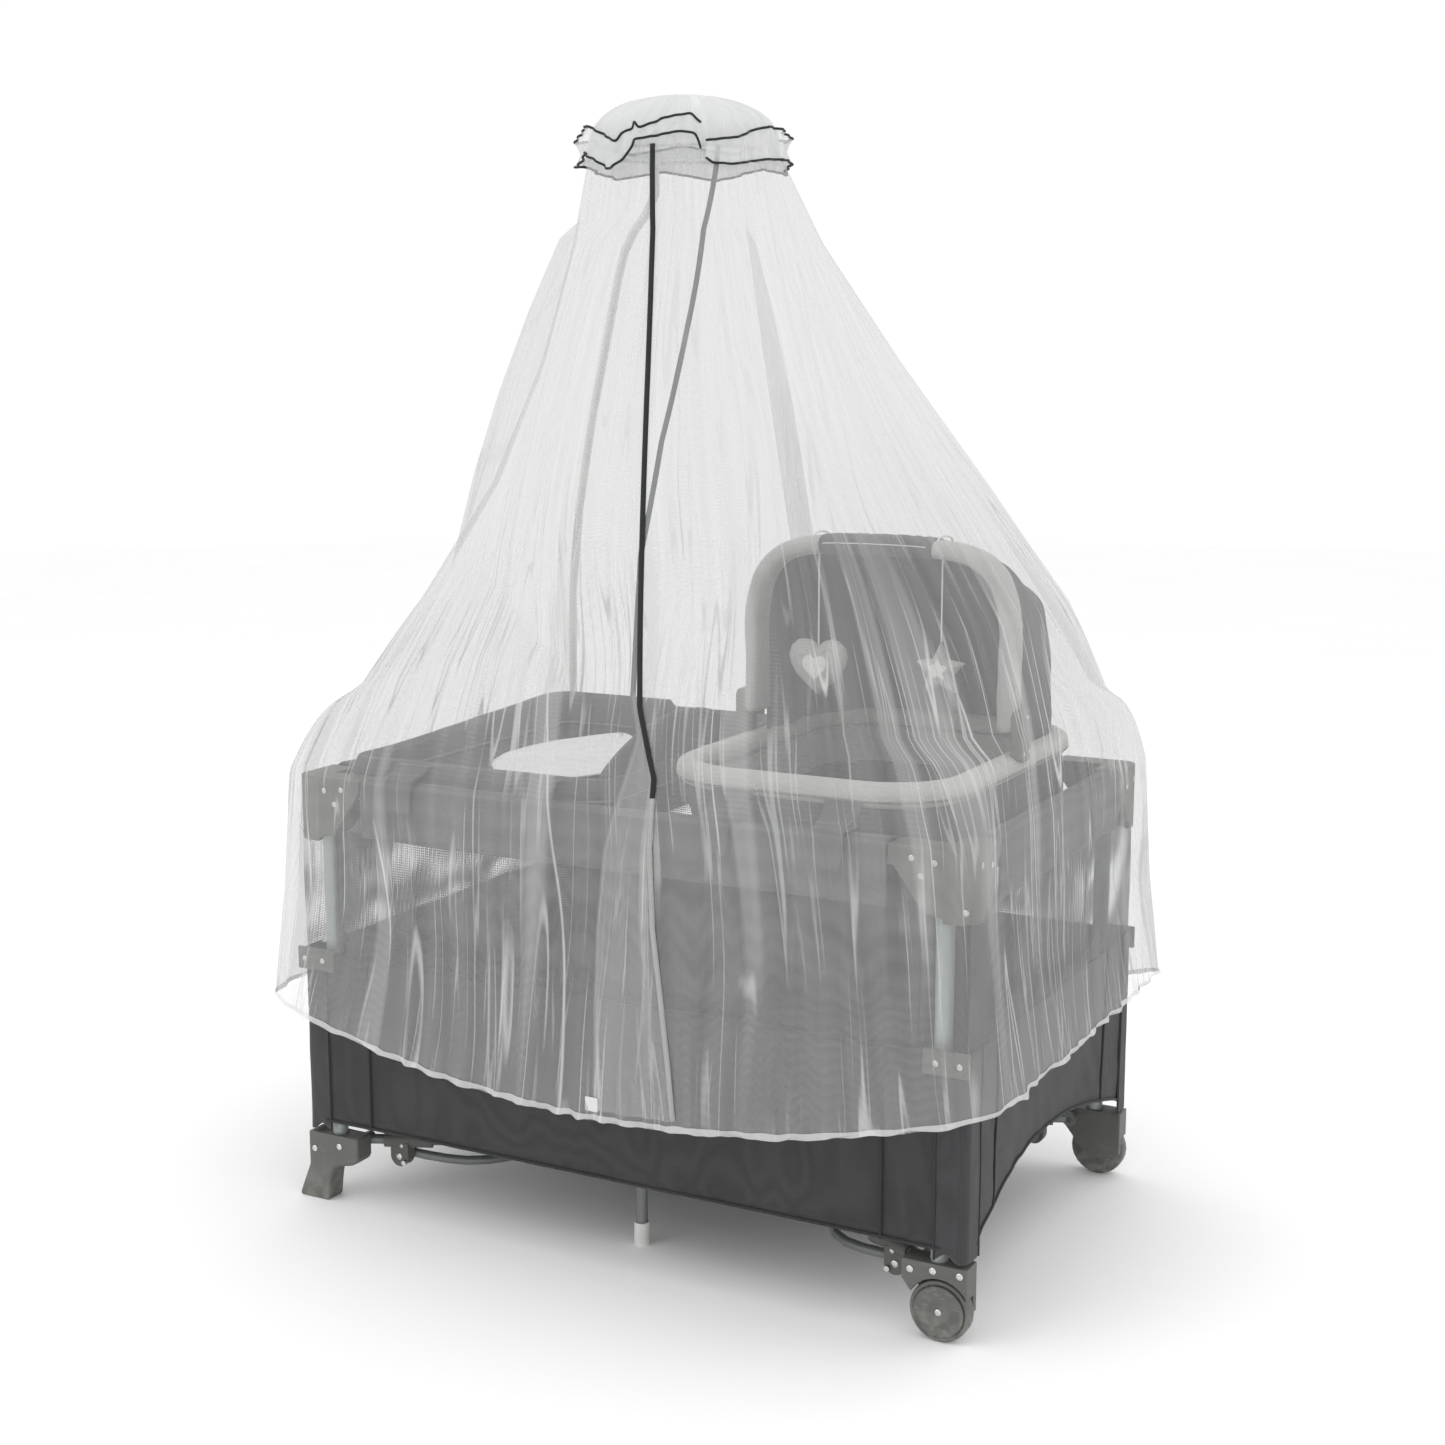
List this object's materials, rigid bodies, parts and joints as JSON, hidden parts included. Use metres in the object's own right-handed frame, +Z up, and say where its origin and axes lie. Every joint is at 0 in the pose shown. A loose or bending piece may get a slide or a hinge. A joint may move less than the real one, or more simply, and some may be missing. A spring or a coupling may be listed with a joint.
{
  "type": "bassinet on stand",
  "caption": "Folding travel cot with a hooded bassinet, a changing tray, swing-down rocker bows and a draped net canopy on a pole.",
  "frame": {"origin": "on the floor, under the middle of the cot", "axes": "+X along the cot towards the wheels, -Y towards the open long side, +Z up"},
  "size_m": [1.324, 0.885, 1.888],
  "materials": {
    "casting_plastic": "fine-grained olive-grey moulding",
    "dark_plastic": "satin dark moulding",
    "frame_tube": "satin pale grey-green enamel",
    "bow_tube": "satin blue-grey enamel",
    "wall_cloth": "plain-weave charcoal polyester",
    "inner_cloth": "mid-grey brushed polyester",
    "trim_cloth": "light grey padded jersey",
    "mat_cloth": "white wipe-clean cloth",
    "string": "white cotton cord",
    "white_plastic": "glossy white moulding",
    "pole_paint": "white enamelled tube",
    "bright_steel": "zinc-plated",
    "net": "fine white tulle"
  },
  "bodies": {
    "end_frame_left": {"corner_post_fl": "frame_tube", "corner_post_rl": "frame_tube", "upper_corner_fl": "casting_plastic", "upper_corner_rl": "casting_plastic", "foot_fl": "casting_plastic", "foot_rl": "casting_plastic", "rail_left": "frame_tube", "wall_left": "wall_cloth", "wall_front": "wall_cloth", "wall_rear": "wall_cloth", "mattress": "inner_cloth"},
    "arms_left": {"lower_arm_fl": "bow_tube", "lower_arm_rl": "bow_tube", "bow_bracket_fl": "casting_plastic", "bow_bracket_rl": "casting_plastic"},
    "hub": {"hub_bar": "frame_tube", "centre_foot_front": "white_plastic", "centre_foot_rear": "white_plastic"},
    "arms_right": {"lower_arm_fr": "bow_tube", "lower_arm_rr": "bow_tube", "bow_bracket_fr": "casting_plastic", "bow_bracket_rr": "casting_plastic"},
    "end_frame_right": {"corner_post_fr": "frame_tube", "corner_post_rr": "frame_tube", "upper_corner_fr": "casting_plastic", "upper_corner_rr": "casting_plastic", "wheel_housing_fr": "casting_plastic", "wheel_housing_rr": "casting_plastic", "rail_right": "frame_tube", "wall_right": "wall_cloth"},
    "napper": {"napper_frame": "frame_tube", "napper_tub": "inner_cloth", "hood_hinge_left": "dark_plastic", "hood_hinge_right": "dark_plastic"},
    "hood": {"hood_bow": "frame_tube", "hood_cover": "inner_cloth"},
    "toy_heart": {"toy_heart": "trim_cloth", "toy_string_heart": "string"},
    "toy_star": {"toy_star": "trim_cloth", "toy_string_star": "string"},
    "changer": {"changer_frame": "frame_tube", "changer_pad": "inner_cloth", "changer_mat": "mat_cloth"},
    "canopy": {"net_pole": "pole_paint", "net_ring": "white_plastic", "net_drape": "net"},
    "rocker_bow_left": {"rocker_bow_left": "bow_tube"},
    "rocker_bow_right": {"rocker_bow_right": "bow_tube"},
    "rail_front_left": {"rail_front_left": "frame_tube"},
    "rail_front_right": {"rail_front_right": "frame_tube"},
    "rail_rear_left": {"rail_rear_left": "frame_tube"},
    "rail_rear_right": {"rail_rear_right": "frame_tube"},
    "rail_latch_button_front": {"rail_latch_button_front": "dark_plastic"},
    "rail_latch_button_rear": {"rail_latch_button_rear": "dark_plastic"},
    "wheel_front": {"wheel_fr": "casting_plastic"},
    "wheel_rear": {"wheel_rr": "casting_plastic"},
    "bow_lock_button_fl": {"bow_lock_button_fl": "bright_steel"},
    "bow_lock_button_fr": {"bow_lock_button_fr": "bright_steel"},
    "bow_lock_button_rl": {"bow_lock_button_rl": "bright_steel"},
    "bow_lock_button_rr": {"bow_lock_button_rr": "bright_steel"}
  },
  "joints": [
    {"name": "fold", "type": "hinge", "parent": "end_frame_left", "child": "arms_left", "pos_m": [-0.5295, 0, 0.106], "axis": [0, -1, 0], "range_deg": [0, 64], "deforming": ["wall_front", "wall_rear", "mattress"]},
    {"name": "hub_level", "type": "hinge", "parent": "arms_left", "child": "hub", "pos_m": [-0.03, 0, 0.106], "axis": [0, 1, 0], "range_deg": [0, 64]},
    {"name": "arms_right_fold", "type": "hinge", "parent": "hub", "child": "arms_right", "pos_m": [0.03, 0, 0.106], "axis": [0, 1, 0], "range_deg": [0, 64]},
    {"name": "end_right_level", "type": "hinge", "parent": "arms_right", "child": "end_frame_right", "pos_m": [0.5295, 0, 0.106], "axis": [0, -1, 0], "range_deg": [0, 64]},
    {"name": "rail_front_left_fold", "type": "hinge", "parent": "end_frame_left", "child": "rail_front_left", "pos_m": [-0.5135, 0, 0.735], "axis": [0, 1, 0], "range_deg": [0, 64]},
    {"name": "rail_front_right_fold", "type": "hinge", "parent": "end_frame_right", "child": "rail_front_right", "pos_m": [0.5135, 0, 0.735], "axis": [0, -1, 0], "range_deg": [0, 64]},
    {"name": "rail_rear_left_fold", "type": "hinge", "parent": "end_frame_left", "child": "rail_rear_left", "pos_m": [-0.5135, 0, 0.735], "axis": [0, 1, 0], "range_deg": [0, 64]},
    {"name": "rail_rear_right_fold", "type": "hinge", "parent": "end_frame_right", "child": "rail_rear_right", "pos_m": [0.5135, 0, 0.735], "axis": [0, -1, 0], "range_deg": [0, 64]},
    {"name": "rail_latch_press_front", "type": "slide", "parent": "rail_front_left", "child": "rail_latch_button_front", "axis": [0, 0, 1], "range_m": [0, 0.004], "stiffness_N_per_m": 400},
    {"name": "rail_latch_press_rear", "type": "slide", "parent": "rail_rear_left", "child": "rail_latch_button_rear", "axis": [0, 0, 1], "range_m": [0, 0.004], "stiffness_N_per_m": 400},
    {"name": "wheel_spin_front", "type": "hinge", "parent": "end_frame_right", "child": "wheel_front", "pos_m": [0.5725, 0, 0.0485], "axis": [0, 1, 0], "continuous": true},
    {"name": "wheel_spin_rear", "type": "hinge", "parent": "end_frame_right", "child": "wheel_rear", "pos_m": [0.5725, 0, 0.0485], "axis": [0, 1, 0], "continuous": true},
    {"name": "rocker_bow_swing_left", "type": "hinge", "parent": "arms_left", "child": "rocker_bow_left", "pos_m": [-0.4725, 0, 0.078], "axis": [0, 1, 0], "range_deg": [0, 95]},
    {"name": "rocker_bow_swing_right", "type": "hinge", "parent": "arms_right", "child": "rocker_bow_right", "pos_m": [0.4725, 0, 0.078], "axis": [0, -1, 0], "range_deg": [0, 95]},
    {"name": "bow_lock_press_fl", "type": "slide", "parent": "arms_left", "child": "bow_lock_button_fl", "axis": [0, 1, 0], "range_m": [0, 0.004], "stiffness_N_per_m": 300},
    {"name": "bow_lock_press_fr", "type": "slide", "parent": "arms_right", "child": "bow_lock_button_fr", "axis": [0, 1, 0], "range_m": [0, 0.004], "stiffness_N_per_m": 300},
    {"name": "bow_lock_press_rl", "type": "slide", "parent": "arms_left", "child": "bow_lock_button_rl", "axis": [0, -1, 0], "range_m": [0, 0.004], "stiffness_N_per_m": 300},
    {"name": "bow_lock_press_rr", "type": "slide", "parent": "arms_right", "child": "bow_lock_button_rr", "axis": [0, -1, 0], "range_m": [0, 0.004], "stiffness_N_per_m": 300},
    {"name": "hood_swing", "type": "hinge", "parent": "napper", "child": "hood", "pos_m": [0.292, 0, 0.865], "axis": [-1, 0, 0], "range_deg": [0, 65], "deforming": ["hood_cover"]},
    {"name": "napper_lift", "type": "slide", "parent": "end_frame_left", "child": "napper", "axis": [0, 0, 1], "range_m": [0, 0.45]},
    {"name": "changer_lift", "type": "slide", "parent": "end_frame_left", "child": "changer", "axis": [0, 0, 1], "range_m": [0, 0.105]},
    {"name": "canopy_lift", "type": "slide", "parent": "end_frame_left", "child": "canopy", "axis": [0, 0, 1], "range_m": [0, 0.45]},
    {"name": "toy_heart_swing", "type": "hinge", "parent": "hood", "child": "toy_heart", "pos_m": [0.18, 0, 1.141], "axis": [0, 1, 0], "range_deg": [-14, 14]},
    {"name": "toy_star_swing", "type": "hinge", "parent": "hood", "child": "toy_star", "pos_m": [0.4, 0, 1.141], "axis": [0, 1, 0], "range_deg": [-14, 14]}
  ],
  "couplings": [
    {"joint": "hub_level", "follows": "fold", "ratio": 1},
    {"joint": "arms_right_fold", "follows": "fold", "ratio": 1},
    {"joint": "end_right_level", "follows": "fold", "ratio": 1},
    {"joint": "rail_front_left_fold", "follows": "fold", "ratio": 1},
    {"joint": "rail_front_right_fold", "follows": "fold", "ratio": 1},
    {"joint": "rail_rear_left_fold", "follows": "fold", "ratio": 1},
    {"joint": "rail_rear_right_fold", "follows": "fold", "ratio": 1},
    {"joint": "napper_lift", "follows": "fold", "m_per_rad": 0.4},
    {"joint": "changer_lift", "follows": "fold", "m_per_rad": 0.092},
    {"joint": "canopy_lift", "follows": "fold", "m_per_rad": 0.4}
  ]
}
